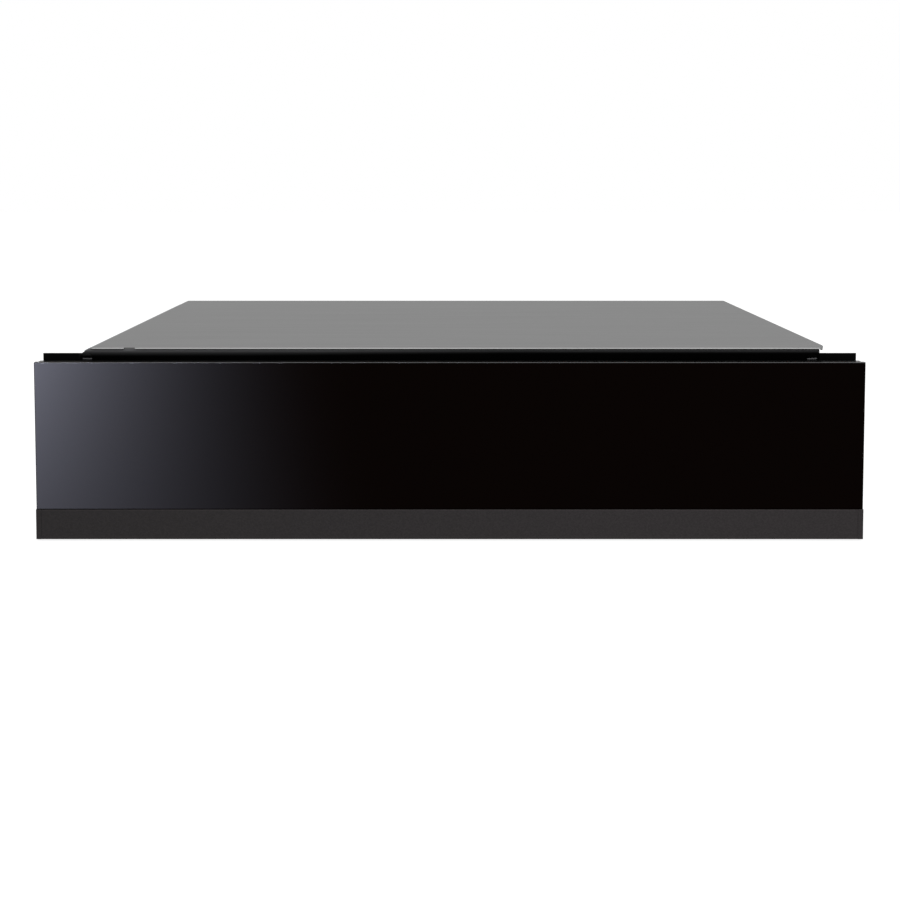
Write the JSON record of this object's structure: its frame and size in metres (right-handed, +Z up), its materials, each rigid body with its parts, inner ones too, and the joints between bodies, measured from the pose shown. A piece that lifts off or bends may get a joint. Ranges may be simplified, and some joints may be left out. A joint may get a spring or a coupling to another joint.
{
  "type": "built in warming drawer",
  "caption": "Low built-in warming drawer with a handleless black glass front, a full-extension tub on runners and a fan heater behind it, in a flat sheet-metal casing.",
  "frame": {"origin": "centre of the footprint, on the plane that the casing stands on", "axes": "+X to the right as seen from the front, +Y towards the back, +Z up; the drawer opens towards -Y"},
  "size_m": [0.595, 0.548, 0.137],
  "materials": {
    "black_glass": "black back-printed glass, polished",
    "dark_trim": "dark grey metallic lacquer, satin",
    "black_enamel": "black stoved paint, satin",
    "brushed_cover": "grey sheet with a fine grain along its width",
    "stainless": "brushed stainless steel",
    "galvanised": "zinc coated steel sheet",
    "aluminised": "aluminium coated steel sheet",
    "runner_steel": "bright zinc plated, lightly greased",
    "cage_steel": "bright steel",
    "plated_screw": "bright zinc plate",
    "mineral_fibre": "bonded mineral fibre",
    "silicone": "matt silicone",
    "element_sheath": "oxidised steel sheath",
    "steatite": "unglazed ceramic",
    "impeller_aluminium": "plain aluminium",
    "motor_core": "varnished plate stack",
    "black_plastic": "fine grained",
    "grey_plastic": "fine grained",
    "white_plastic": "smooth",
    "rocker_plastic": "polished",
    "lamp_lens": "amber, clear",
    "copper": "drawn copper",
    "loom_sleeve": "woven look sleeve",
    "lead_sleeve": "glass fibre sleeve"
  },
  "bodies": {
    "casing": {"left_front_wing": "black_enamel", "right_front_wing": "black_enamel", "front_top_rail": "black_enamel", "front_bottom_rail": "black_enamel", "top_cover": "brushed_cover", "base_pan": "galvanised", "left_side_wall": "galvanised", "right_side_wall": "galvanised", "rear_panel": "galvanised", "rear_frame": "galvanised", "partition_wall": "galvanised", "thermostat_body": "galvanised", "cavity_ceiling": "aluminised", "heater_box": "aluminised", "heater_grille": "aluminised", "left_runner_outer": "runner_steel", "right_runner_outer": "runner_steel", "rail_screws": "plated_screw", "side_screws": "plated_screw", "rear_screws": "plated_screw", "runner_rivets": "plated_screw", "insulation_blanket": "mineral_fibre", "heating_element": "element_sheath", "element_connector": "steatite", "fan_motor": "motor_core", "control_panel": "black_plastic", "switch_housing": "black_plastic", "mains_inlet": "black_plastic", "safety_cutout": "black_plastic", "latch_housing": "grey_plastic", "terminal_block": "white_plastic", "cable_clips": "white_plastic", "pilot_lamp": "lamp_lens", "thermostat_capillary": "copper", "wiring_loom": "loom_sleeve", "heater_leads": "lead_sleeve"},
    "drawer": {"glass_front": "black_glass", "lower_trim_strip": "dark_trim", "front_carrier": "black_enamel", "front_insulation": "mineral_fibre", "front_inner_panel": "stainless", "front_fixing_screws": "plated_screw", "drawer_tub": "stainless", "anti_slip_mat": "silicone", "latch_strike": "galvanised", "left_runner_inner": "runner_steel", "right_runner_inner": "runner_steel"},
    "left_middle": {"left_runner_middle": "runner_steel"},
    "right_middle": {"right_runner_middle": "runner_steel"},
    "left_outer_cage": {"left_outer_ball_cage": "cage_steel"},
    "right_outer_cage": {"right_outer_ball_cage": "cage_steel"},
    "left_inner_cage": {"left_inner_ball_cage": "cage_steel"},
    "right_inner_cage": {"right_inner_ball_cage": "cage_steel"},
    "knob": {"control_knob": "black_plastic", "thermostat_spindle": "cage_steel"},
    "rocker": {"rocker_button": "rocker_plastic"},
    "fan": {"fan_impeller": "impeller_aluminium", "fan_shaft": "cage_steel"},
    "plunger": {"latch_plunger": "grey_plastic"}
  },
  "joints": [
    {"name": "drawer_slide", "type": "slide", "parent": "casing", "child": "drawer", "axis": [0, -1, 0], "range_m": [-0.003, 0.44]},
    {"name": "left_middle_slide", "type": "slide", "parent": "casing", "child": "left_middle", "axis": [0, -1, 0], "range_m": [-0.0015, 0.22]},
    {"name": "left_outer_cage_slide", "type": "slide", "parent": "casing", "child": "left_outer_cage", "axis": [0, -1, 0], "range_m": [-0.00075, 0.11]},
    {"name": "left_inner_cage_slide", "type": "slide", "parent": "casing", "child": "left_inner_cage", "axis": [0, -1, 0], "range_m": [-0.00225, 0.33]},
    {"name": "right_middle_slide", "type": "slide", "parent": "casing", "child": "right_middle", "axis": [0, -1, 0], "range_m": [-0.0015, 0.22]},
    {"name": "right_outer_cage_slide", "type": "slide", "parent": "casing", "child": "right_outer_cage", "axis": [0, -1, 0], "range_m": [-0.00075, 0.11]},
    {"name": "right_inner_cage_slide", "type": "slide", "parent": "casing", "child": "right_inner_cage", "axis": [0, -1, 0], "range_m": [-0.00225, 0.33]},
    {"name": "knob_turn", "type": "hinge", "parent": "casing", "child": "knob", "pos_m": [0.2455, -0.2435, 0.08], "axis": [0, 1, 0], "range_deg": [0, 270]},
    {"name": "rocker_tilt", "type": "hinge", "parent": "casing", "child": "rocker", "pos_m": [0.2455, -0.2285, 0.034], "axis": [-1, 0, 0], "range_deg": [0, 12]},
    {"name": "fan_spin", "type": "hinge", "parent": "casing", "child": "fan", "pos_m": [-0.024, 0.219, 0.062], "axis": [0, 1, 0], "continuous": true},
    {"name": "plunger_push", "type": "slide", "parent": "casing", "child": "plunger", "axis": [0, 1, 0], "range_m": [0, 0.003], "stiffness_N_per_m": 400, "springref_m": -0.002}
  ],
  "couplings": [
    {"joint": "left_middle_slide", "follows": "drawer_slide", "ratio": 0.5},
    {"joint": "left_outer_cage_slide", "follows": "drawer_slide", "ratio": 0.25},
    {"joint": "left_inner_cage_slide", "follows": "drawer_slide", "ratio": 0.75},
    {"joint": "right_middle_slide", "follows": "drawer_slide", "ratio": 0.5},
    {"joint": "right_outer_cage_slide", "follows": "drawer_slide", "ratio": 0.25},
    {"joint": "right_inner_cage_slide", "follows": "drawer_slide", "ratio": 0.75}
  ]
}
